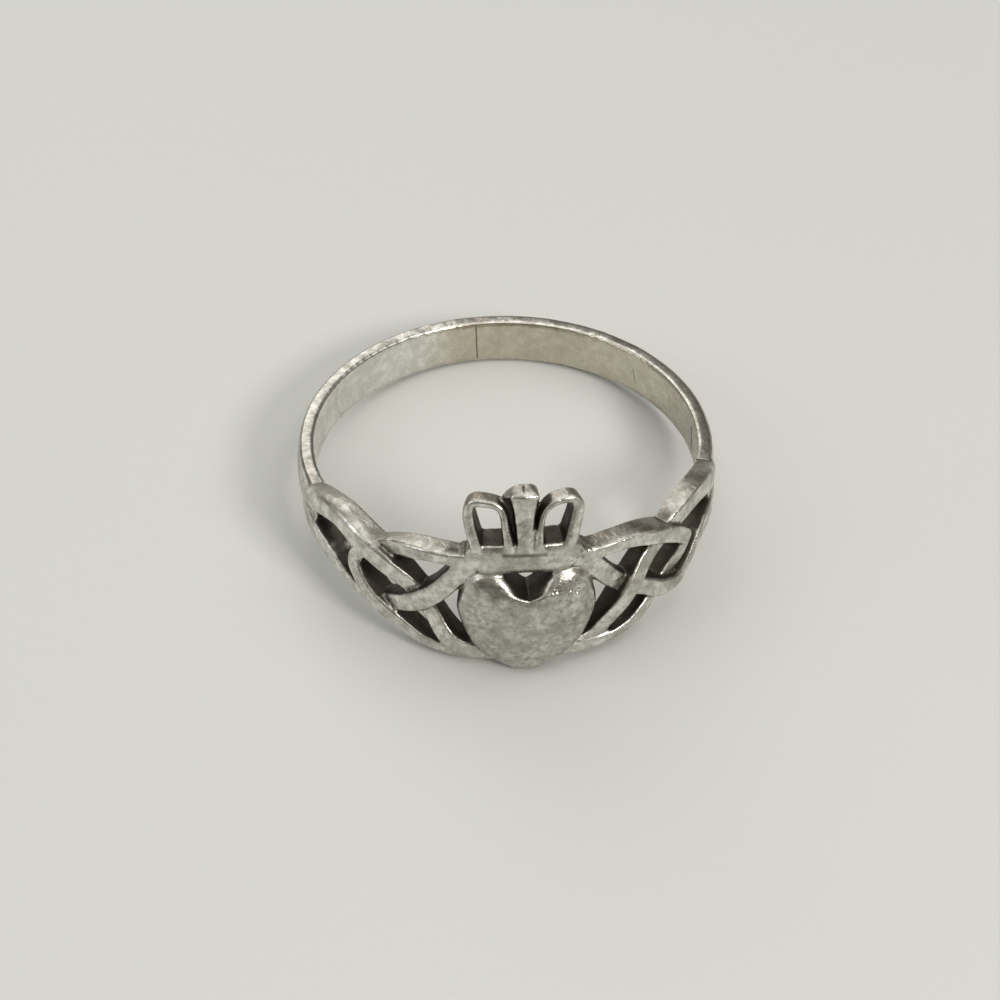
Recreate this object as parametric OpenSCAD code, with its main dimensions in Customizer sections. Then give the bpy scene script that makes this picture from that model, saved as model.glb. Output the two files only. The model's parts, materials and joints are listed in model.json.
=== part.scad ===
// Claddagh ring, cast in silver in one piece: a plain band whose ends part into
// two trinity knots, with a heart between them and a crown standing on the heart.
// The ring lies on its side, resting on the heart's tip and the back of the band.

/* [Finger and band] */
// Inside diameter, where the finger goes
finger_d = 17.3; // [15:0.1:21]
// Width of the plain band
band_w = 2.25; // [1.6:0.05:3.2]
// Thickness of the band along its two edges
band_edge_t = 0.64; // [0.4:0.02:1]
// What the band's rounded outside adds in its middle
band_crown = 0.17; // [0:0.01:0.4]

/* [Knots] */
// Turn from the heart's middle to the knot's two corners beside it, in degrees
knot_near = 13; // [11:0.5:16]
// Turn from the heart's middle to where the knot's two long strands start on the band, in degrees
knot_far = 74; // [66:1:84]
// Length of the band under the start of those two strands, before they part
knot_head = 1; // [0.5:0.1:2]
// Height of a knot, between the middles of its top and bottom strands
knot_h = 5.8; // [4.6:0.1:7]
// How far the knot's middle lies below the middle of the band
knot_drop = 0.6; // [0:0.1:1.2]
// Width of the strands
strand_w = 1; // [0.8:0.05:1.3]
// Thickness of the strands along their edges
strand_edge_t = 0.68; // [0.5:0.02:1.2]
// Thickness of the strands in their middle
strand_t = 1; // [0.8:0.02:1.6]
// How far a strand rises where it crosses over, and sinks where it goes under
strand_lap = 0.17; // [0.05:0.01:0.3]

/* [Heart] */
// Width of the heart over its lobes
heart_w = 6.2; // [5:0.05:7]
// Height from the heart's widest line up to the top of its lobes
lobe_h = 2.3; // [2:0.05:2.6]
// Height from the heart's widest line down to its tip
tip_h = 3.4; // [2.4:0.05:4]
// How far the heart's widest line lies below the middle of the band
heart_drop = 0.8; // [0.2:0.05:1.4]
// Thickness of the heart along its edge
heart_edge_t = 0.95; // [0.8:0.05:1.8]
// What the heart's bevel and its domed face add in its middle
heart_dome = 0.85; // [0.1:0.05:1.2]

/* [Crown] */
// Height of the bar under the crown, from its lower edge to its upper edge
bar_h = 1.45; // [1:0.05:2]
// Height of the bar's lower edge above the middle of the band
bar_rise = 1.45; // [1.2:0.05:1.5]
// Turn that the bar spans, in degrees
bar_turn = 30; // [24:1:36]
// Thickness of the bar and of the crown's foot
bar_t = 1.2; // [0.8:0.02:1.8]
// Thickness of the crown along its top
crown_top_t = 0.7; // [0.5:0.02:1.2]
// Height of the crown's two arches above the bar
arch_h = 2.1; // [1.5:0.05:3]
// Height of the crown's middle leaf above the bar
leaf_h = 2.65; // [2:0.05:3.6]
// Turn across the crown at its widest, in degrees
crown_turn = 34; // [28:1:40]
// Width of the rims of the crown's arches
arch_rim = 0.6; // [0.4:0.05:0.8]
// Width of the leaf near its top
leaf_w = 1.3; // [0.8:0.05:1.5]
// How far the crown sits round to one side of the heart's middle, in degrees
crown_shift = -0.9; // [-2:0.1:2]

/* [Hidden] */
silver = [0.72, 0.71, 0.68];

finger_r = finger_d / 2;
mm_per_turn = (finger_r + strand_t) * PI / 180; // round the face, for one degree
root = 0.3;         // how far into the finger hole a piece starts, before the hole is cut
root_step = 0.1;    // how much deeper each next kind of piece starts, so that none meet flush
draft = 0.9;        // width of a piece deep in the finger hole over its width at its edge
bar_draft = 1.5;    // the same for the bar, which widens towards the finger
edge_bevel = 0.14;  // what the middle of the bar, the arches and the leaf rises over their edges
curve_steps = 3;    // stretches between two rows of a path
outline_steps = 2;  // stretches between two rows of the heart's outline
round_steps = 9;    // stretches across the band's rounded outside

// Paths of the three strands of a knot, from the band or the crown.
// turn: share of the way from knot_near to knot_far
// lift: share of half the knot's height, from the knot's middle
// lap: 1 over another strand, -1 under it
// wide: share of strand_w
// Upper strand of the band, which falls to the knot's corner under the heart
UPPER = [ // turn, lift, lap, wide
    [1.06, 0.28, 0.0, 0.95],
    [0.93, 0.50, 0.0, 1.10],
    [0.82, 0.65, 0.0, 1.10],
    [0.71, 0.72, 0.2, 1.10],
    [0.61, 0.66, 0.6, 1.12],
    [0.51, 0.54, 1.0, 1.10],
    [0.42, 0.40, 1.0, 1.05],
    [0.34, 0.22, 0.2, 1.00],
    [0.27, -0.04, -1.0, 0.95],
    [0.205, -0.35, -0.8, 0.90],
    [0.14, -0.66, 0.5, 0.92],
    [0.07, -0.86, 0.4, 0.90],
    [-0.06, -0.93, 0.0, 0.80]];
// Lower strand of the band, which climbs to the knot's corner under the crown
LOWER = [
    [1.06, 0.04, 0.0, 0.95],
    [0.95, 0.00, 0.0, 1.00],
    [0.84, -0.06, 0.0, 0.92],
    [0.73, -0.20, 0.0, 0.76],
    [0.62, -0.40, -0.4, 0.64],
    [0.53, -0.50, -1.0, 0.70],
    [0.44, -0.43, -1.0, 0.88],
    [0.36, -0.29, 0.2, 0.95],
    [0.27, -0.12, 1.0, 0.98],
    [0.185, 0.13, 1.0, 0.98],
    [0.12, 0.40, 0.4, 1.00],
    [0.06, 0.66, 0.0, 1.00],
    [0.0, 0.88, 0.0, 1.00]];
// Third strand, from the corner under the crown round to the corner under the heart
ROUND = [
    [-0.02, 0.82, 0.0, 0.85],
    [0.08, 0.82, 0.0, 0.75],
    [0.19, 0.83, 0.0, 0.70],
    [0.29, 0.79, -0.2, 0.80],
    [0.37, 0.72, -1.0, 0.84],
    [0.45, 0.59, -1.0, 0.84],
    [0.53, 0.41, -1.0, 0.82],
    [0.595, 0.21, -0.8, 0.82],
    [0.60, 0.03, 0.0, 0.86],
    [0.57, -0.12, 0.4, 0.84],
    [0.51, -0.29, 1.0, 0.80],
    [0.43, -0.49, 1.0, 0.78],
    [0.35, -0.68, 0.2, 0.76],
    [0.25, -0.87, 0.0, 0.62],
    [0.14, -0.95, 0.0, 0.60],
    [0.02, -0.95, 0.0, 0.72],
    [-0.11, -0.90, -0.2, 0.80]];

// Right half of the heart's outline, from its tip to the notch between the lobes.
// across: share of half the heart's width; up: share of lobe_h, or of tip_h below the widest line
HEART = [ // across, up
    [0, -1],
    [0.17, -0.975],
    [0.38, -0.87],
    [0.65, -0.69],
    [0.81, -0.50],
    [0.925, -0.25],
    [1, 0],
    [0.975, 0.30],
    [0.88, 0.68],
    [0.74, 0.92],
    [0.55, 1.00],
    [0.40, 0.97],
    [0.286, 0.87],
    [0.15, 0.68],
    [0, 0.53]];
// How the heart's outline changes from the finger out to its face.
// wide, low, high: shares of the outline's width, and of its depth and height from the widest line
// out, dome: shares of the way from the finger to the edge, and of the dome's rise
// round: how far the outline has turned into an oval; notch: share of lobe_h cut under the notch
LEVELS = [ // wide, low, high, out, dome, round, notch
    [1.10, 0.90, 0.97, 0, 0.00, 0.00, 0.00],
    [1.00, 1.00, 1.00, 1, 0.00, 0.00, 0.06],
    [0.95, 0.95, 0.92, 1, 0.32, 0.00, 0.02],
    [0.86, 0.86, 0.80, 1, 0.56, 0.04, 0.00],
    [0.62, 0.62, 0.60, 1, 0.84, 0.45, 0.00],
    [0.32, 0.32, 0.32, 1, 0.97, 1.00, 0.00]];

// Right half of the bar over the heart, from its middle. turn: share of half its turn
// up: share of its height from its lower edge; full: share of its thickness
BAR = [ // turn, up, full, wide
    [0.00, 0.50, 1.00, 1.00],
    [0.55, 0.46, 1.00, 1.08],
    [0.84, 0.40, 0.94, 0.94],
    [1.00, 0.29, 0.82, 0.58],
    [1.16, 0.28, 0.60, 0.46]];

// Rims of the crown's two arches, from the bar up the outside, over and down beside the leaf.
// turn: share of half the crown's turn; up: share of arch_h; wide: share of arch_rim
LEFT_ARCH = [ // turn, up, wide
    [-0.71, -0.15, 0.85],
    [-0.79, 0.20, 0.85],
    [-0.85, 0.50, 0.87],
    [-0.87, 0.78, 0.85],
    [-0.78, 0.93, 0.75],
    [-0.58, 0.93, 0.70],
    [-0.42, 0.88, 0.65],
    [-0.33, 0.70, 0.60],
    [-0.295, 0.40, 0.60],
    [-0.25, 0.08, 0.75],
    [-0.235, -0.15, 0.85]];
RIGHT_ARCH = [
    [0.655, -0.15, 1.00],
    [0.735, 0.20, 1.05],
    [0.80, 0.50, 1.00],
    [0.84, 0.76, 0.95],
    [0.77, 0.92, 0.80],
    [0.60, 0.95, 0.65],
    [0.43, 0.89, 0.60],
    [0.30, 0.72, 0.50],
    [0.245, 0.46, 0.50],
    [0.22, 0.16, 0.60],
    [0.205, -0.15, 0.80]];
// The leaf, and the thin web behind the grooves on its two sides.
// up: share of leaf_h; wide: share of leaf_w; full: share of the crown's thickness at that height
LEAF = [ // up, wide, full
    [-0.10, 0.52, 1.0],
    [0.25, 0.60, 1.0],
    [0.55, 0.74, 1.0],
    [0.78, 0.92, 1.1],
    [0.92, 1.00, 1.15],
    [1.00, 0.52, 0.8]];
WEB = [
    [-0.10, 0.90, 0.50],
    [0.45, 1.10, 0.50],
    [0.74, 1.35, 0.60],
    [0.86, 1.10, 0.85],
    [0.97, 0.55, 0.90]];

// Rounded section: across is a share of half the width, out goes from 0 at the edge to 1 in the middle
DOMED = [ // across, out
    [-1, 0], [-0.62, 0.75], [0, 1], [0.62, 0.75], [1, 0]];

// The ring rests on the heart's tip and on the lower back edge of the band
tip_z = -heart_drop - tip_h;
lean = atan((-tip_z - band_w / 2) / (2 * finger_r + heart_edge_t + band_edge_t));
front_y = -(finger_r + heart_edge_t + heart_dome * 0.85) * cos(lean) - (heart_drop + tip_h * 0.6) * sin(lean);
back_y = (finger_r + band_edge_t) * cos(lean) + band_w / 2 * sin(lean);
rest_y = -(front_y + back_y) / 2;
rest_z = band_w / 2 * cos(lean) + (finger_r + band_edge_t) * sin(lean);

// Point at a turn from the heart's middle, a distance from the finger's axis and a height
function on_ring(turn, r, z) = [r * sin(turn), -r * cos(turn), z];

// Value between rows b and c of a smooth path, at share t, with its neighbours a and d
function smooth(a, b, c, d, t) =
    (2 * b + (c - a) * t + (2 * a - 5 * b + 4 * c - d) * t * t + (3 * b - a - 3 * c + d) * t * t * t) / 2;

// All the stations of a path through a table's rows
function stations(rows, steps = curve_steps) = let (last = len(rows) - 1) concat(
    [for (i = [0 : last - 1], s = [0 : steps - 1])
        smooth(rows[max(i - 1, 0)], rows[i], rows[i + 1], rows[min(i + 2, last)], s / steps)],
    [rows[last]]);

// Where a piece starts in the finger hole
function inside_r(depth) = finger_r - root - root_step * depth;

// A bar of metal along a path round the finger.
// path: rows of turn, height, width, thickness at the edge, thickness in the middle
// spread: its width deep in the finger hole over its width at its edge
module swept(path, depth, spread = draft) {
    n = len(DOMED) + 2;
    last = len(path) - 1;
    points = [for (i = [0 : last])
        let (
            p = path[i],
            before = path[max(i - 1, 0)],
            after = path[min(i + 1, last)],
            along = [(after[0] - before[0]) * mm_per_turn, after[1] - before[1]],
            side = [-along[1], along[0]] / norm(along) * p[2] / 2,
            ring = concat(
                [[-spread, inside_r(depth)]],
                [for (s = DOMED) [s[0], finger_r + p[3] + (p[4] - p[3]) * s[1]]],
                [[spread, inside_r(depth)]]))
        each [for (q = ring) on_ring(p[0] + side[0] * q[0] / mm_per_turn, q[1], p[1] + side[1] * q[0])]];
    walls = [for (i = [0 : last - 1], k = [0 : n - 1])
        [i * n + (k + 1) % n, (i + 1) * n + (k + 1) % n, (i + 1) * n + k, i * n + k]];
    polyhedron(points, concat(walls, [[for (k = [n - 1 : -1 : 0]) k]],
        [[for (k = [0 : n - 1]) last * n + k]]));
}

// The plain band round the back of the finger, rounded outside
module band() {
    half = band_w / 2;
    start = knot_far - knot_head / mm_per_turn;
    rotate([0, 0, start - 90]) rotate_extrude(angle = 360 - 2 * start, $fn = 128)
        polygon(concat([[inside_r(0), half], [inside_r(0), -half]],
            [for (i = [0 : round_steps]) let (v = 2 * i / round_steps - 1)
                [finger_r + band_edge_t + band_crown * (1 - v * v), half * v]]));
}

// One strand of a knot; side is 1 right of the heart and -1 left of it.
// It starts as thin as the band and is full where it leaves it
module strand(rows, side, depth) {
    swept([for (s = stations(rows))
        let (rise = -side * strand_lap * s[2], full = min(1, (1.1 - s[0]) * 5))
        [side * (knot_near + s[0] * (knot_far - knot_near)),
            s[1] * knot_h / 2 - knot_drop,
            s[3] * strand_w,
            band_edge_t + (strand_edge_t + rise - band_edge_t) * full,
            band_edge_t + band_crown + (strand_t + rise - band_edge_t - band_crown) * full]], depth);
}

module knot(side) {
    strand(UPPER, side, 1);
    strand(LOWER, side, 2);
    strand(ROUND, side, 3);
}

// The heart: its outline, drawn in as it rises to the domed face
module heart() {
    half = stations(HEART, outline_steps);
    last = len(half) - 1;
    n = 2 * last;
    outline = concat(half, [for (i = [last - 1 : -1 : 1]) [-half[i][0], half[i][1]]]);
    points = concat(
        [for (s = LEVELS, i = [0 : n - 1])
            let (
                a = 360 * i / n,
                p = outline[i],
                up = p[1] < 0 ? p[1] * tip_h * s[1] : p[1] * lobe_h * s[2],
                dip = lobe_h * s[6] * max(0, 1 - 2 * abs(p[0])) * (p[1] > 0 ? 1 : 0),
                x = heart_w / 2 * s[0] * (p[0] * (1 - s[5]) + sin(a) * s[5]),
                z = (up - dip) * (1 - s[5]) - tip_h * 0.8 * s[1] * cos(a) * s[5])
            on_ring(
                x / mm_per_turn,
                inside_r(5) + (finger_r + heart_edge_t - inside_r(5)) * s[3] + heart_dome * s[4],
                z - heart_drop)],
        [on_ring(0, finger_r + heart_edge_t + heart_dome, -heart_drop)]);
    top = len(LEVELS) - 1;
    polyhedron(points, concat(
        [[for (k = [0 : n - 1]) k]],
        [for (j = [0 : top - 1], k = [0 : n - 1])
            [(j + 1) * n + k, (j + 1) * n + (k + 1) % n, j * n + (k + 1) % n, j * n + k]],
        [for (k = [0 : n - 1]) [len(points) - 1, top * n + (k + 1) % n, top * n + k]]));
}

// The bar that the crown stands on, drawn out at its ends into the knots' corners
module bar() {
    right = stations(BAR);
    both = concat([for (i = [len(right) - 1 : -1 : 1]) [-right[i][0], right[i][1], right[i][2], right[i][3]]], right);
    swept([for (s = both) let (t = bar_t * s[2])
        [crown_shift + s[0] * bar_turn / 2, bar_rise + bar_h * s[1], bar_h * s[3], t - edge_bevel, t]], 4, bar_draft);
}

// Thickness of the crown at a height above the bar, thinning towards its top
function crown_t(up) = bar_t + (crown_top_t - bar_t) * min(max(up / arch_h, 0), 1);

module crown() {
    foot = bar_rise + bar_h;
    half = crown_turn / 2;
    for (arch = [LEFT_ARCH, RIGHT_ARCH])
        swept([for (s = stations(arch)) let (up = s[1] * arch_h, t = crown_t(up))
            [crown_shift + s[0] * half, foot + up, s[2] * arch_rim, t - edge_bevel, t]], 1);
    for (i = [0, 1])
        swept([for (s = stations([LEAF, WEB][i])) let (up = s[0] * leaf_h, t = crown_t(up) * s[2])
            [crown_shift * (1 + i), foot + up, s[1] * leaf_w, t - edge_bevel, t]], 2 + i);
}

module ring() {
    color(silver)
        translate([0, rest_y, rest_z]) rotate([-lean, 0, 0]) difference() {
            union() {
                band();
                knot(1);
                knot(-1);
                bar();
                crown();
                heart();
            }
            cylinder(r = finger_r, h = 4 * knot_h, center = true, $fn = 128);
        }
}

ring();
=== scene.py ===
import json
import math
import bpy
import numpy as np
from mathutils import Matrix, Vector
from mathutils.bvhtree import BVHTree


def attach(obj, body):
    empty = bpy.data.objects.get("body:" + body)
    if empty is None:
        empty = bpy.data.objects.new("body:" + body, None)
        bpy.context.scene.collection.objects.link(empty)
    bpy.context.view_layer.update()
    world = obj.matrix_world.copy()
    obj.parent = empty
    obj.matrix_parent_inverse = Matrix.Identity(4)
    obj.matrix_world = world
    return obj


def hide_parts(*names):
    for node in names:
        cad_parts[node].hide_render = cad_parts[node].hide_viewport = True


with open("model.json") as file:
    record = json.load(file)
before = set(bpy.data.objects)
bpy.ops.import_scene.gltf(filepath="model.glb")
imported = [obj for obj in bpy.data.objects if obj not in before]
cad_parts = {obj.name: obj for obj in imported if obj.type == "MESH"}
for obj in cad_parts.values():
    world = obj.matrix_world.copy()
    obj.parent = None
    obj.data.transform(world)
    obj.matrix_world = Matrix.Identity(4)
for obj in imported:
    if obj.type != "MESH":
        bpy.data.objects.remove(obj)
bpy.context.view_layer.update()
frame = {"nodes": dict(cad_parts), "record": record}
bpy.ops.object.select_all(action="DESELECT")

mm = 0.001
fingerHole = frame["record"]["mounts"][0]
holeCentre = np.array(fingerHole["pos_m"]) / mm
lean = math.atan2(fingerHole["axis"][1], fingerHole["axis"][2])
holeRadius = fingerHole["dims"]["r_mm"]
print("frame loaded, the ring leans", round(math.degrees(lean), 2), "degrees")


# Round the finger: degrees from the heart, millimetres up the finger, millimetres from its middle
def roundTheFinger(points):
    p = points - holeCentre
    c, s = math.cos(lean), math.sin(lean)
    y = p[:, 1] * c - p[:, 2] * s
    z = p[:, 1] * s + p[:, 2] * c
    return np.degrees(np.arctan2(p[:, 0], -y)), z, np.hypot(p[:, 0], y)


# The way out from the finger's middle at each point
def outwards(points):
    p = points - holeCentre
    c, s = math.cos(lean), math.sin(lean)
    y = p[:, 1] * c - p[:, 2] * s
    out = np.stack([p[:, 0], y * c, -y * s], 1)
    return out / np.linalg.norm(out, axis=1)[:, None]


def smoothStep(x, low, high):
    t = np.clip((x - low) / (high - low), 0, 1)
    return t * t * (3 - 2 * t)


def pointsOf(mesh):
    co = np.empty(len(mesh.vertices) * 3)
    mesh.vertices.foreach_get("co", co)
    return co.reshape(-1, 3)


def normalsOf(mesh):
    n = np.empty(len(mesh.vertices) * 3)
    mesh.vertex_normals.foreach_get("vector", n)
    return n.reshape(-1, 3)


def edgesOf(mesh):
    e = np.empty(len(mesh.edges) * 2, int)
    mesh.edges.foreach_get("vertices", e)
    return e.reshape(-1, 2)


# Mean over each point's neighbours
def blurred(values, edges, times):
    a, b = edges[:, 0], edges[:, 1]
    count = np.bincount(a, minlength=len(values)) + np.bincount(b, minlength=len(values))
    for _ in range(times):
        total = np.bincount(a, values[b], len(values)) + np.bincount(b, values[a], len(values))
        values = 0.5 * values + 0.5 * total / np.maximum(count, 1)
    return values


def addAttribute(mesh, name, values):
    layer = mesh.attributes.new(name, "FLOAT", "POINT")
    layer.data.foreach_set("value", values.astype(np.float32))


def applyModifiers(piece):
    bpy.ops.object.select_all(action="DESELECT")
    piece.select_set(True)
    bpy.context.view_layer.objects.active = piece
    for modifier in list(piece.modifiers):
        bpy.ops.object.modifier_apply(modifier=modifier.name)


# Camera and room

camera = {"place": (-10.679, -85.151, 99.704), "turn": (40.776, -1.303, -5.462), "lens": 102.96}
bpy.ops.object.camera_add(location=[c * mm for c in camera["place"]],
                          rotation=[math.radians(a) for a in camera["turn"]])
eye = bpy.context.object
eye.data.lens = camera["lens"]
eye.data.clip_start = 0.005
bpy.context.scene.camera = eye

room = {
    "floor": (0.60, 0.61, 0.585),
    "horizon": (0.16, 0.145, 0.125),
    "zenith": (0.46, 0.455, 0.43),
}
lamps = {
    "windowRight": {"place": (170, -210, 220), "size": 90, "power": 0.56, "tint": (1.0, 0.98, 0.94)},
    "overhead": {"place": (40, 60, 400), "size": 460, "power": 0.72, "tint": (1.0, 0.99, 0.97)},
    "skyLeft": {"place": (-280, -40, 180), "size": 200, "power": 0.19, "tint": (0.94, 0.97, 1.0)},
    "windowBehind": {"place": (-130, 390, 240), "size": 340, "power": 0.5, "tint": (1.0, 0.98, 0.94)},
}

bpy.ops.mesh.primitive_plane_add(size=2.0, location=(0, 0, 0))
floor = bpy.context.object
floor.name = "floor"
pale = bpy.data.materials.new("paleFloor")
pale.use_nodes = True
shader = pale.node_tree.nodes["Principled BSDF"]
shader.inputs["Base Color"].default_value = (*room["floor"], 1)
shader.inputs["Roughness"].default_value = 0.55
floor.data.materials.append(pale)

world = bpy.data.worlds.new("studio")
world.use_nodes = True
bpy.context.scene.world = world
sky = world.node_tree
backdrop = sky.nodes["Background"]
up = sky.nodes.new("ShaderNodeSeparateXYZ")
sky.links.new(sky.nodes.new("ShaderNodeTexCoord").outputs["Generated"], up.inputs[0])
fade = sky.nodes.new("ShaderNodeMapRange")
fade.inputs["From Min"].default_value = 0.35
fade.inputs["From Max"].default_value = 0.95
sky.links.new(up.outputs["Z"], fade.inputs["Value"])
blend = sky.nodes.new("ShaderNodeMix")
blend.data_type = "RGBA"
blend.inputs[6].default_value = (*room["horizon"], 1)
blend.inputs[7].default_value = (*room["zenith"], 1)
sky.links.new(fade.outputs["Result"], blend.inputs[0])
sky.links.new(blend.outputs[2], backdrop.inputs["Color"])

for name, lamp in lamps.items():
    place = Vector(lamp["place"]) * mm
    turn = (-place).to_track_quat("-Z", "Y").to_euler()
    bpy.ops.object.light_add(type="AREA", location=place, rotation=turn)
    light = bpy.context.object
    light.name = name
    light.data.size = lamp["size"] * mm
    light.data.energy = lamp["power"]
    light.data.color = lamp["tint"]
bpy.context.scene.view_settings.view_transform = "Standard"
print("room, lights and camera set")


# The casting: a skin over the fixed ring, worked at one unit to a millimetre

casting = {
    "cell": 0.052,
    "soften": 2,
    "flatten": 16,
    "again": 0.05,                  # cell size once the strands are flat
    "roundRim": 24,
    "shoulderLeft": (0.60, 0.40),   # width and height of the left knot's worn top edge
    "shoulder": (0.26, 0.20),
    "uneven": 0.035,
    "triangles": 192000,
}


# A merged copy of a fixed node's mesh, in millimetres
def skinOver(nodeName, pieceName):
    piece = bpy.data.objects.new(pieceName, frame["nodes"][nodeName].data.copy())
    bpy.context.scene.collection.objects.link(piece)
    piece.data.materials.clear()
    bpy.ops.object.select_all(action="DESELECT")
    piece.select_set(True)
    bpy.context.view_layer.objects.active = piece
    bpy.ops.object.mode_set(mode="EDIT")
    bpy.ops.mesh.select_all(action="SELECT")
    bpy.ops.mesh.remove_doubles(threshold=1e-6)
    bpy.ops.mesh.normals_make_consistent(inside=False)
    bpy.ops.object.mode_set(mode="OBJECT")
    piece.data.transform(Matrix.Scale(1 / mm, 4))
    return piece


ring = skinOver("ring", "cast_ring")
print("skin taken,", len(ring.data.polygons), "faces")

remesh = ring.modifiers.new("cells", "REMESH")
remesh.mode = "VOXEL"
remesh.voxel_size = casting["cell"]
soften = ring.modifiers.new("soften", "SMOOTH")
soften.factor = 0.5
soften.iterations = casting["soften"]
applyModifiers(ring)
print("remeshed,", len(ring.data.polygons), "faces")

# Facets are smoothed out of the open faces, and the edges stay crisp
edges = edgesOf(ring.data)
normals = normalsOf(ring.data)
spread = np.stack([blurred(normals[:, k], edges, 6) for k in range(3)], 1)
bend = 1 - np.linalg.norm(spread, axis=1)
flat = ring.vertex_groups.new(name="flat")
weights = 1 - smoothStep(bend, 0.004, 0.03)
for level in range(11):
    chosen = np.where(np.round(weights * 10) == level)[0]
    if level and len(chosen):
        flat.add(chosen.tolist(), level / 10, "REPLACE")
flatten = ring.modifiers.new("flatten", "SMOOTH")
flatten.factor = 0.5
flatten.iterations = casting["flatten"]
flatten.vertex_group = "flat"
applyModifiers(ring)
ring.vertex_groups.clear()

# The strands are flat straps that step over each other where they cross.
# Each point on a strand's middle line: share of the knot's length, share of half its height,
# 1 over another or -1 under it, width
knot = {
    "strands": {
        "upper": [
            (1.06, 0.28, 0, 0.95), (0.93, 0.5, 0, 1.1), (0.82, 0.65, 0, 1.1), (0.71, 0.72, 0.2, 1.1),
            (0.61, 0.66, 0.6, 1.12), (0.51, 0.54, 1, 1.1), (0.42, 0.4, 1, 1.05), (0.34, 0.22, 0.2, 1),
            (0.27, -0.04, -1, 0.95), (0.205, -0.35, -0.8, 0.9), (0.14, -0.66, 0.5, 0.92),
            (0.07, -0.86, 0.4, 0.9), (-0.06, -0.93, 0, 0.8)],
        "lower": [
            (1.06, 0.04, 0, 0.95), (0.95, 0, 0, 1), (0.84, -0.06, 0, 0.92), (0.73, -0.2, 0, 0.76),
            (0.62, -0.4, -0.4, 0.64), (0.53, -0.5, -1, 0.7), (0.44, -0.43, -1, 0.88),
            (0.36, -0.29, 0.2, 0.95), (0.27, -0.12, 1, 0.98), (0.185, 0.13, 1, 0.98), (0.12, 0.4, 0.4, 1),
            (0.06, 0.66, 0, 1), (0, 0.88, 0, 1)],
        "third": [
            (-0.02, 0.82, 0, 0.85), (0.08, 0.82, 0, 0.75), (0.19, 0.83, 0, 0.7), (0.29, 0.79, -0.2, 0.8),
            (0.37, 0.72, -1, 0.84), (0.45, 0.59, -1, 0.84), (0.53, 0.41, -1, 0.82), (0.595, 0.21, -0.8, 0.82),
            (0.6, 0.03, 0, 0.86), (0.57, -0.12, 0.4, 0.84), (0.51, -0.29, 1, 0.8), (0.43, -0.49, 1, 0.78),
            (0.35, -0.68, 0.2, 0.76), (0.25, -0.87, 0, 0.62), (0.14, -0.95, 0, 0.6), (0.02, -0.95, 0, 0.72),
            (-0.11, -0.9, -0.2, 0.8)],
    },
    "from": 13,             # degrees from the heart's middle
    "length": 61,           # degrees
    "height": 5.8,
    "drop": 0.6,            # how far its middle lies under the band's
    "degree": 0.1684,       # millimetres round the outside to a degree
    "reach": (8, 82),       # where strands are flattened, in degrees
    "worn": (13, 84),       # where top edges are rounded
    "top": 1.0,             # a strand's face over the finger hole
    "bandTop": 0.81,        # the same where it leaves the band
    "lap": 0.19,
    "roundEdge": 0.1,
}


def smoothPath(rows, steps=4):
    rows = np.array(rows) * [knot["length"], knot["height"] / 2, 1, 1] + [knot["from"], -knot["drop"], 0, 0]
    padded = np.vstack([rows[:1], rows, rows[-1:]])
    t = np.linspace(0, 1, steps, endpoint=False)[:, None]
    pieces = []
    for a, b, c, d in zip(padded, padded[1:], padded[2:], padded[3:]):
        bow = (2 * a - 5 * b + 4 * c - d) * t ** 2 + (3 * b - a - 3 * c + d) * t ** 3
        pieces.append(b + 0.5 * ((c - a) * t + bow))
    return np.vstack(pieces + [rows[-1:]])


# How far each point is from a strand's middle line, as a share of half its width, and the lap there
def onStrand(path, along, lift):
    nearest, lap = np.full(len(along), 9.0), np.zeros(len(along))
    for p, q in zip(path[:-1], path[1:]):
        x, y = (q[0] - p[0]) * knot["degree"], q[1] - p[1]
        fromX, fromY = along - p[0] * knot["degree"], lift - p[1]
        t = np.clip((fromX * x + fromY * y) / (x * x + y * y), 0, 1)
        gap = np.hypot(fromX - t * x, fromY - t * y) / (p[3] + t * (q[3] - p[3])) * 2
        lap = np.where(gap < nearest, p[2] + t * (q[2] - p[2]), lap)
        nearest = np.minimum(gap, nearest)
    return nearest, lap


skin = pointsOf(ring.data)
normals = normalsOf(ring.data)
out = outwards(skin)
turnAt, lift, depth = roundTheFinger(skin)
depth = depth - holeRadius
facing = (normals * out).sum(1)
for side in (-1, 1):
    away = turnAt * side
    inReach = (away > knot["reach"][0]) & (away < knot["reach"][1])
    chosen = np.where(inReach & (facing > 0.15) & (depth > 0.3))[0]
    level = np.zeros(len(chosen))
    full = np.clip((80.1 - away[chosen]) / 12.2, 0, 1)
    for rows in knot["strands"].values():
        nearest, lap = onStrand(smoothPath(rows), away[chosen] * knot["degree"], lift[chosen])
        top = knot["bandTop"] + (knot["top"] - side * knot["lap"] * lap - knot["bandTop"]) * full
        top -= knot["roundEdge"] * smoothStep(nearest, 0.7, 1.05)
        level = np.where(nearest < 1.04, np.maximum(level, top), level)
    raiseBy = np.maximum(level - depth[chosen], 0) * smoothStep(facing[chosen], 0.15, 0.45)
    skin[chosen] += out[chosen] * raiseBy[:, None]
    print("strands flattened on side", side, "by up to", round(raiseBy.max(), 2), "mm")

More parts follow.
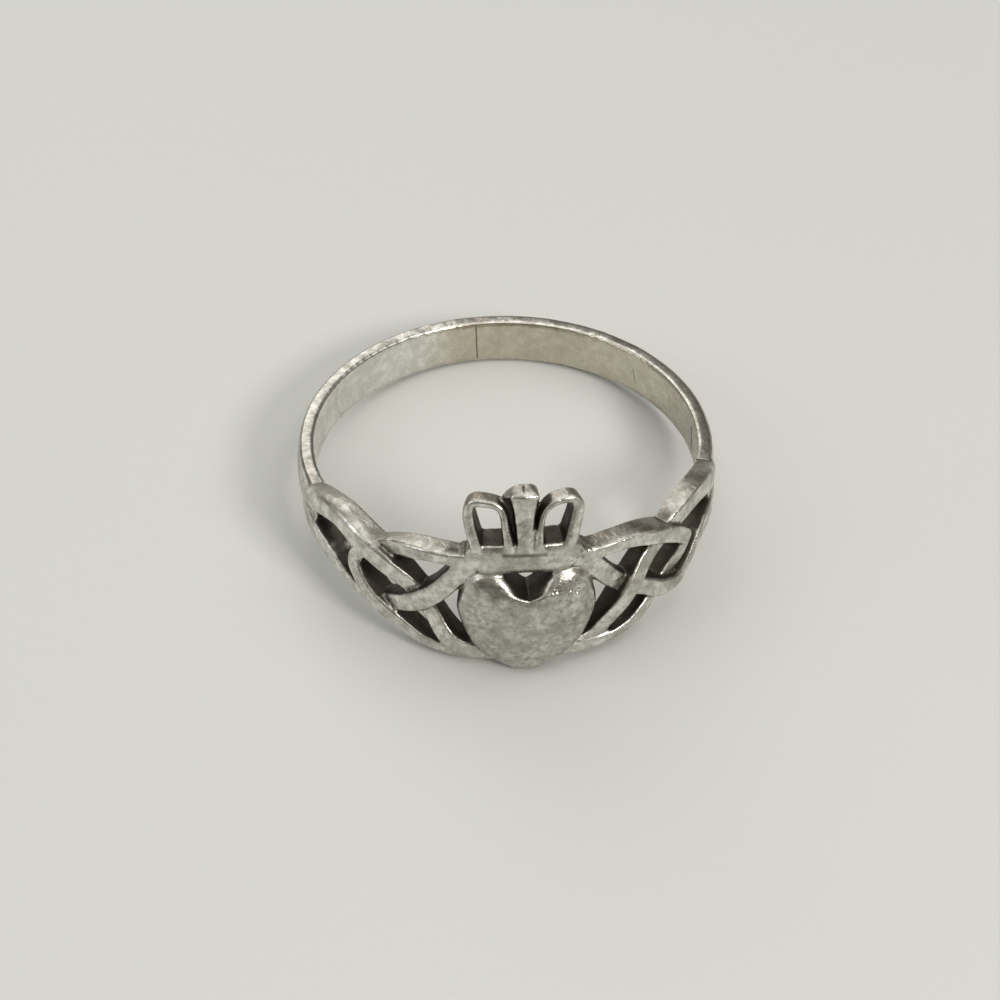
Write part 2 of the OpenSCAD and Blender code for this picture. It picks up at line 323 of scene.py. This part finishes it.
# The knots' top edges are worn round, the left ones most
axis = np.array(fingerHole["axis"])
centres = np.arange(0, 100, 0.75)
for side in (-1, 1):
    turnAt, lift, depth = roundTheFinger(skin)
    depth = depth - holeRadius
    away = turnAt * side
    onSide = (away > knot["worn"][0]) & (away < knot["worn"][1])
    worn = smoothStep(away, 42, 50) * (side < 0)
    across, down = (small + (large - small) * worn
                    for small, large in zip(casting["shoulder"], casting["shoulderLeft"]))
    column = np.clip(np.round(away / 0.75), 0, len(centres) - 1).astype(int)
    crest = np.full(len(centres), 1.0)
    np.maximum.at(crest, column[onSide], lift[onSide])
    near = onSide & (lift > crest[column] - 0.25)
    thick = np.full(len(centres), 0.7)
    np.maximum.at(thick, column[near], depth[near])
    crest, thick = (np.convolve(np.pad(v, 3, "edge"), [1 / 7] * 7, "valid") for v in (crest, thick))
    crest, thick = np.interp(away, centres, crest), np.interp(away, centres, thick)
    x = (depth - thick + across) / across
    y = (lift - crest + down) / down
    past = np.hypot(x, y)
    outside = onSide & (x > 0) & (y > 0) & (past > 1)
    share = np.where(outside, 1 - 1 / np.maximum(past, 1), 0)
    share *= smoothStep(away, 15, 22) * (1 - smoothStep(away, 72, 80))
    skin -= out * (x * across * share)[:, None] + axis * (y * down * share)[:, None]
ring.data.vertices.foreach_set("co", skin.ravel())
ring.data.update()
print("knots' top edges rounded")

again = ring.modifiers.new("again", "REMESH")
again.mode = "VOXEL"
again.voxel_size = casting["again"]
settle = ring.modifiers.new("settle", "SMOOTH")
settle.factor = 0.5
settle.iterations = 2
applyModifiers(ring)
turnAt, lift, depth = roundTheFinger(pointsOf(ring.data))

# The band's edges are rounded off by wear
rim = ring.vertex_groups.new(name="rim")
worn = smoothStep(np.abs(turnAt), 72, 80) * smoothStep(np.abs(lift), 0.62, 0.85)
for level in range(1, 11):
    chosen = np.where(np.round(worn * 10) == level)[0]
    if len(chosen):
        rim.add(chosen.tolist(), level / 10, "REPLACE")
roundOff = ring.modifiers.new("roundOff", "SMOOTH")
roundOff.factor = 0.5
roundOff.iterations = casting["roundRim"]
roundOff.vertex_group = "rim"
clouds = bpy.data.textures.new("handWorn", "CLOUDS")
clouds.noise_scale = 1.1
clouds.noise_depth = 2
uneven = ring.modifiers.new("uneven", "DISPLACE")
uneven.texture = clouds
uneven.strength = casting["uneven"]
uneven.mid_level = 0.7
applyModifiers(ring)
ring.vertex_groups.clear()

thin = ring.modifiers.new("thin", "DECIMATE")
thin.ratio = min(1, casting["triangles"] / (2 * len(ring.data.polygons)))
thin.use_collapse_triangulate = True
applyModifiers(ring)
print("thinned to", len(ring.data.polygons), "triangles")

# How deep each point lies among its neighbours, and how much it stands proud of them
skin = pointsOf(ring.data)
normals = normalsOf(ring.data)
edges = edgesOf(ring.data)


def hiddenShare(points, directions, reach, close, rays):
    tree = BVHTree.FromObject(ring, bpy.context.evaluated_depsgraph_get())
    count, near = np.zeros(len(points)), np.zeros(len(points))
    spin = math.pi * (3 - math.sqrt(5))
    for i in range(rays):
        up = math.sqrt(1 - (i + 0.5) / rays)
        side = math.sqrt(1 - up * up)
        a = i * spin
        ray = np.array([side * math.cos(a), side * math.sin(a), up])
        helper = np.where(np.abs(directions[:, 2:3]) < 0.9, [[0, 0, 1.0]], [[1.0, 0, 0]])
        u = np.cross(helper, directions)
        u /= np.linalg.norm(u, axis=1)[:, None]
        v = np.cross(directions, u)
        way = u * ray[0] + v * ray[1] + directions * ray[2]
        start = points + directions * 0.03
        for k in range(len(points)):
            away = tree.ray_cast(start[k], way[k], reach)[3]
            if away is not None:
                count[k] += 1
                near[k] += away < close
    return count / rays, near / rays


# Dark lines where one strand's edge lies on another: painted shade in the crevice beside the step, with some
# oxide
def crossings(turnAt, lift):
    line = np.zeros(len(lift))
    for side in (-1, 1):
        away = turnAt * side
        chosen = np.where((away > knot["reach"][0]) & (away < knot["reach"][1]))[0]
        found = [onStrand(smoothPath(rows), away[chosen] * knot["degree"], lift[chosen])
                 for rows in knot["strands"].values()]
        for over, overLap in found:
            for under, underLap in found:
                above = smoothStep(-side * (overLap - underLap), 0.3, 0.9) * (under < 1)
                edge = 1 - smoothStep(np.abs(over - 1.06), 0.08, 0.22)
                line[chosen] = np.maximum(line[chosen], edge * above)
    return line


hidden, pinched = (blurred(share, edges, 2) for share in hiddenShare(skin, normals, 1.6, 0.35, 14))
turnAt, lift, depth = roundTheFinger(skin)
facing = (normals * outwards(skin)).sum(1)
wall = 1 - smoothStep(np.abs(facing), 0.35, 0.68)
addAttribute(ring.data, "hidden", hidden)
# painted shade along the strand crossings
addAttribute(ring.data, "crossing", crossings(turnAt, lift) * smoothStep(depth - holeRadius, 0.55, 0.7))
addAttribute(ring.data, "pinched", pinched)
addAttribute(ring.data, "wall", blurred(wall, edges, 1))
addAttribute(ring.data, "lift", lift)
addAttribute(ring.data, "depth", depth - holeRadius)
a, b = edges[:, 0], edges[:, 1]
step = skin[b] - skin[a]
proud = np.bincount(a, -(step * normals[a]).sum(1), len(skin))
proud += np.bincount(b, (step * normals[b]).sum(1), len(skin))
proud /= np.bincount(a, minlength=len(skin)) + np.bincount(b, minlength=len(skin))
addAttribute(ring.data, "proud", blurred(proud, edges, 2))
print("hollows and edges measured")

ring.data.transform(Matrix.Scale(mm, 4))
ring.data.polygons.foreach_set("use_smooth", [True] * len(ring.data.polygons))
ring.data.update()


# Silver

silver = {
    "bright": (0.80, 0.79, 0.745),
    "dull": (0.53, 0.515, 0.46),
    # brown for the side walls and crown tops: tarnish and painted shade
    "brown": (0.17, 0.14, 0.105),
    "smoky": (0.30, 0.285, 0.24),
    "warm": (0.58, 0.52, 0.42),
    # lighter silver for edges rubbed by wear and for painted light: edge highlights and the lit part of the
    # inside
    "rubbedAndLit": (0.86, 0.85, 0.82),
    # patina mixed with painted shade, for the hollows, piercing walls and creases
    "tarnishAndShade": (0.042, 0.033, 0.024),
    "gloss": 0.2,
    "mmPerTurn": 0.168,
}
metal = bpy.data.materials.new("wornSilver")
metal.use_nodes = True
nodes, links = metal.node_tree.nodes, metal.node_tree.links
shader = nodes["Principled BSDF"]
shader.inputs["Metallic"].default_value = 1.0


def add(kind, **settings):
    node = nodes.new(kind)
    for key, value in settings.items():
        setattr(node, key, value)
    return node


def number(op, a, b=None, c=None):
    node = add("ShaderNodeMath", operation=op)
    for i, value in enumerate((a, b, c)):
        if value is None:
            continue
        if isinstance(value, (int, float)):
            node.inputs[i].default_value = value
        else:
            links.new(value, node.inputs[i])
    return node.outputs[0]


def ramp(value, low, high, first=0.0, last=1.0):
    node = add("ShaderNodeMapRange", interpolation_type="SMOOTHSTEP")
    links.new(value, node.inputs["Value"])
    for name, v in zip(("From Min", "From Max", "To Min", "To Max"), (low, high, first, last)):
        node.inputs[name].default_value = v
    return node.outputs["Result"]


def mixed(share, first, second):
    node = add("ShaderNodeMix", data_type="RGBA")
    links.new(share, node.inputs[0])
    for i, value in ((6, first), (7, second)):
        if isinstance(value, tuple):
            node.inputs[i].default_value = (*value, 1)
        else:
            links.new(value, node.inputs[i])
    return node.outputs[2]


def attribute(name):
    return add("ShaderNodeAttribute", attribute_name=name).outputs["Fac"]


place = add("ShaderNodeTexCoord").outputs["Object"]


def noise(scale, detail=2.0, rough=0.5, coords=place):
    node = add("ShaderNodeTexNoise")
    links.new(coords, node.inputs["Vector"])
    node.inputs["Scale"].default_value = scale
    node.inputs["Detail"].default_value = detail
    node.inputs["Roughness"].default_value = rough
    return node.outputs["Fac"]


# The turn is worked out at each point, because an attribute would blur where it starts again at the back
fromMiddle = add("ShaderNodeVectorMath", operation="SUBTRACT")
links.new(place, fromMiddle.inputs[0])
fromMiddle.inputs[1].default_value = holeCentre * mm
apartBy = add("ShaderNodeSeparateXYZ")
links.new(fromMiddle.outputs[0], apartBy.inputs[0])
towardsHeart = number("SUBTRACT", number("MULTIPLY", apartBy.outputs["Z"], math.sin(lean)),
                      number("MULTIPLY", apartBy.outputs["Y"], math.cos(lean)))
turnHere = number("MULTIPLY", number("ARCTAN2", apartBy.outputs["X"], towardsHeart), math.degrees(1))
eitherWay = number("ABSOLUTE", turnHere)
liftAttribute, depthAttribute = attribute("lift"), attribute("depth")
ringPlace = add("ShaderNodeCombineXYZ")
links.new(number("MULTIPLY", turnHere, silver["mmPerTurn"]), ringPlace.inputs[0])
links.new(liftAttribute, ringPlace.inputs[1])
links.new(depthAttribute, ringPlace.inputs[2])
onRing = ringPlace.outputs[0]


# A line from one spot on the ring to another, as a mask: for scratches and seams, and for painted shade lines
# in creases and under the rim
def scratchAndShadeLineGroup():
    group = bpy.data.node_groups.new("scratchAndShadeLine", "ShaderNodeTree")
    for name in ("Place", "From", "To"):
        group.interface.new_socket(name, in_out="INPUT", socket_type="NodeSocketVector")
    for name in ("Width", "Strength"):
        group.interface.new_socket(name, in_out="INPUT", socket_type="NodeSocketFloat")
    group.interface.new_socket("Mask", in_out="OUTPUT", socket_type="NodeSocketFloat")
    given = group.nodes.new("NodeGroupInput")
    result = group.nodes.new("NodeGroupOutput")

    def vector(op, a, b, out=0):
        node = group.nodes.new("ShaderNodeVectorMath")
        node.operation = op
        group.links.new(a, node.inputs[0])
        group.links.new(b, node.inputs["Scale"] if op == "SCALE" else node.inputs[1])
        return node.outputs[out]

    start = vector("SUBTRACT", given.outputs["Place"], given.outputs["From"])
    way = vector("SUBTRACT", given.outputs["To"], given.outputs["From"])
    share = group.nodes.new("ShaderNodeMath")
    share.operation = "DIVIDE"
    share.use_clamp = True
    group.links.new(vector("DOT_PRODUCT", start, way, 1), share.inputs[0])
    group.links.new(vector("DOT_PRODUCT", way, way, 1), share.inputs[1])
    nearest = vector("SCALE", way, share.outputs[0])
    apart = vector("DISTANCE", start, nearest, 1)
    fadeOut = group.nodes.new("ShaderNodeMapRange")
    fadeOut.interpolation_type = "SMOOTHSTEP"
    fadeOut.inputs["From Min"].default_value = 0
    group.links.new(apart, fadeOut.inputs["Value"])
    group.links.new(given.outputs["Width"], fadeOut.inputs["From Max"])
    group.links.new(given.outputs["Strength"], fadeOut.inputs["To Min"])
    fadeOut.inputs["To Max"].default_value = 0
    group.links.new(fadeOut.outputs["Result"], result.inputs["Mask"])
    return group


# Each mark: turn, lift and depth of both ends, half its width, how dark. Seams, nicks, scratches, the slit,
# the dent and the notch are the ring's own; the crease lines by the strands and the line under the rim are
# painted shade
marks = {
    "sizingSeam": ((-176.2, 1.05, 0), (-176.7, -0.9, 0), 0.07, 0.8),
    "nickInside": ((94.9, 0.45, 0), (93.7, -0.65, 0), 0.17, 0.9),
    "scuffInside": ((130.6, 0.2, 0), (129.2, -0.55, 0), 0.06, 0.5),
    "seamOverRim": ((74.4, 1.1, 0), (74.2, 1.12, 0.75), 0.08, 0.9),
    "seamOutside": ((74.2, 1.1, 0.75), (74.0, -0.2, 0.85), 0.08, 0.8),
    "slitInBar": ((-6.2, 2.54, 1.1), (4.2, 2.5, 1.1), 0.17, 1.0),
    "heartScratch": ((-5.0, 0.25, 1.6), (-4.1, -0.3, 1.75), 0.07, 0.6),
    "heartDent": ((-10.6, -0.55, 1.55), (-10.0, -0.95, 1.6), 0.14, 0.45),
    # painted shade: dark lines in the creases where strands step over one another
    "creaseShadeInStrand": ((-58.6, 1.35, 0.8), (-57.0, 0.1, 0.9), 0.05, 0.7),
    "creaseShadeAtStrandStart": ((-68.6, 1.1, 0.5), (-69.6, -0.1, 0.9), 0.07, 0.8),
    "creaseShadeBesideThird": ((-52.2, 0.0, 0.85), (-49.0, 0.75, 0.85), 0.12, 0.8),
    # painted shade: a dark line under the rim's inner edge
    "shadeLineUnderRim": ((78.0, 1.0, 0), (124.0, 1.0, 0), 0.06, 0.5),
    "notchInLeaf": ((-1.5, 5.55, 0.9), (-0.9, 5.55, 0.2), 0.1, 0.8),
}
rimShadeLine = {"lift": 1.08, "depth": 0.68, "width": 0.13}
scratchAndShadeLine = scratchAndShadeLineGroup()
# Scratches and seams, with the painted shade lines, in one mask
scoredAndShaded = None
for name, (start, end, width, dark) in marks.items():
    node = add("ShaderNodeGroup", node_tree=scratchAndShadeLine, label=name)
    links.new(onRing, node.inputs["Place"])
    node.inputs["From"].default_value = (start[0] * silver["mmPerTurn"], start[1], start[2])
    node.inputs["To"].default_value = (end[0] * silver["mmPerTurn"], end[1], end[2])
    node.inputs["Width"].default_value = width
    node.inputs["Strength"].default_value = dark
    scoredAndShaded = node.outputs["Mask"] if scoredAndShaded is None else number("MAXIMUM", scoredAndShaded, node.outputs["Mask"])

# Painted shade: a dark line along the band's rounded outer upper edge, fading to the right
across = number("SUBTRACT", number("ABSOLUTE", liftAttribute), rimShadeLine["lift"])
apart = number("SQRT", number("ADD", number("POWER", across, 2.0),
                              number("POWER", number("SUBTRACT", depthAttribute, rimShadeLine["depth"]), 2.0)))
line = number("MULTIPLY", ramp(apart, 0.04, rimShadeLine["width"], 1.0, 0.0),
              ramp(eitherWay, 70, 76))
scoredAndShaded = number("MAXIMUM", scoredAndShaded, number("MULTIPLY", line, 0.75))

# Small dents that catch the light, thick on the right of the heart and rare elsewhere
cells = add("ShaderNodeTexVoronoi")
links.new(place, cells.inputs["Vector"])
cells.inputs["Scale"].default_value = 3600
cells.inputs["Randomness"].default_value = 1.0
dented = None
for turn, up, reach in ((11.5, -1.0, 1.5), (9.5, 0.4, 0.9), (14.0, 2.0, 0.9)):
    apart = add("ShaderNodeVectorMath", operation="DISTANCE")
    links.new(onRing, apart.inputs[0])
    apart.inputs[1].default_value = (turn * silver["mmPerTurn"], up, 1.3)
    patch = ramp(apart.outputs["Value"], reach * 0.5, reach, 1.0, 0.0)
    dented = patch if dented is None else number("MAXIMUM", dented, patch)
patchy = ramp(noise(1300, 1), 0.36, 0.5)
dents = number("MULTIPLY", ramp(cells.outputs["Distance"], 0.0, 0.5, 1.0, 0.0),
               number("MULTIPLY", dented, patchy))

cloud = noise(750, 4, 0.6)
blotches = noise(2200, 4, 0.65)
pits = noise(4200, 4, 0.6)
grain = noise(9000, 2, 0.6)
# Patina mixed with painted shade: the deep hollows, the walls of the piercings, the creases and the strand
# crossings are darkened for the oxide there and for the shade that falls in them. Raised edges keep less of
# it.
hiddenMask = ramp(attribute("hidden"), 0.16, 0.36)
wallMask = number("MULTIPLY", attribute("wall"), ramp(attribute("hidden"), 0.06, 0.2, 0.12, 1.0))
edgeMask = ramp(attribute("proud"), 0.003, 0.010)
creaseMask = number("MAXIMUM", ramp(attribute("proud"), -0.006, -0.001, 1.0, 0.0),
                    ramp(attribute("pinched"), 0.1, 0.26))
tarnishAndShade = number("MAXIMUM", number("MULTIPLY", hiddenMask, 0.9), number("MULTIPLY", wallMask, 0.9))
tarnishAndShade = number("MAXIMUM", tarnishAndShade, number("MULTIPLY", attribute("crossing"), 0.5))
tarnishAndShade = number("MAXIMUM", tarnishAndShade, number("MULTIPLY", creaseMask, 0.85))
tarnishAndShade = number("MULTIPLY", tarnishAndShade, number("SUBTRACT", 1.0, number("MULTIPLY", edgeMask, 0.6)))
tarnishAndShade = number("MAXIMUM", tarnishAndShade, scoredAndShaded)
base = mixed(ramp(blotches, 0.36, 0.64), silver["bright"], silver["dull"])
base = mixed(number("MULTIPLY", ramp(cloud, 0.42, 0.66), 0.55), base, silver["smoky"])
base = mixed(number("MULTIPLY", ramp(pits, 0.56, 0.7), 0.5), base, silver["smoky"])
# Inside the band: a warm tone, and a painted reflection of the floor that makes the left part of the inside
# lighter
inside = ramp(depthAttribute, 0.03, 0.12, 1.0, 0.0)
paintedLightInside = number("MULTIPLY", ramp(turnHere, -172, -150), ramp(turnHere, -65, -45, 1.0, 0.0))
warmed = number("SUBTRACT", 0.75, number("MULTIPLY", paintedLightInside, 0.75))
base = mixed(number("MULTIPLY", inside, warmed), base, silver["warm"])
base = mixed(number("MULTIPLY", inside, number("MULTIPLY", paintedLightInside, 0.5)), base, silver["rubbedAndLit"])
heartFace = number("MULTIPLY", ramp(depthAttribute, 1.15, 1.4), ramp(pits, 0.4, 0.62, 0.22, 0.62))
base = mixed(heartFace, base, silver["smoky"])
# Browned side walls and crown tops: partly tarnish patches, partly painted shade, darker on the right-hand
# knot's walls
brownedAndShaded = number("MULTIPLY", attribute("wall"), ramp(turnHere, 6, 14, 0.4, 0.7))
brownedAndShaded = number("MULTIPLY", brownedAndShaded, ramp(eitherWay, 68, 120, 1.0, 0.0))
crownTop = number("MULTIPLY", attribute("wall"), ramp(liftAttribute, 4.0, 4.6, 0.0, 0.75))
brownedAndShaded = number("MAXIMUM", brownedAndShaded, crownTop)
brownedAndShaded = number("MULTIPLY", brownedAndShaded, ramp(cloud, 0.4, 0.58, 1.0, 0.2))
base = mixed(number("MULTIPLY", brownedAndShaded, ramp(depthAttribute, 0.02, 0.1)), base, silver["brown"])
# Raised edges lighter: rubbed bright by wear, and partly a painted highlight
base = mixed(edgeMask, base, silver["rubbedAndLit"])
colour = mixed(tarnishAndShade, base, silver["tarnishAndShade"])
links.new(colour, shader.inputs["Base Color"])
gloss = number("ADD", silver["gloss"], number("MULTIPLY", ramp(blotches, 0.3, 0.7), 0.2))
gloss = number("ADD", gloss, number("MULTIPLY", tarnishAndShade, 0.25))
polished = number("MULTIPLY", number("MAXIMUM", edgeMask, dents), 0.55)
gloss = number("MULTIPLY", gloss, number("SUBTRACT", 1.0, polished))
rimMask = number("MULTIPLY", ramp(number("ABSOLUTE", liftAttribute), 0.85, 1.0),
                 ramp(eitherWay, 76, 82))
gloss = number("MULTIPLY", gloss, number("SUBTRACT", 1.0, number("MULTIPLY", rimMask, 0.35)))
links.new(gloss, shader.inputs["Roughness"])
bump = add("ShaderNodeBump")
bump.inputs["Strength"].default_value = 1.0
bump.inputs["Distance"].default_value = 0.00006
height = number("ADD", number("MULTIPLY", blotches, 0.5), number("MULTIPLY", pits, 0.24))
height = number("ADD", height, number("MULTIPLY", grain, 0.06))
height = number("MULTIPLY", height, number("SUBTRACT", 1.0, number("MULTIPLY", rimMask, 0.7)))
height = number("SUBTRACT", height, number("MULTIPLY", scoredAndShaded, 0.4))
height = number("SUBTRACT", height, number("MULTIPLY", dents, 0.9))
links.new(height, bump.inputs["Height"])
links.new(bump.outputs["Normal"], shader.inputs["Normal"])
ring.data.materials.append(metal)

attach(ring, "root")
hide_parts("ring")
print("silver on, piece joined to the frame")
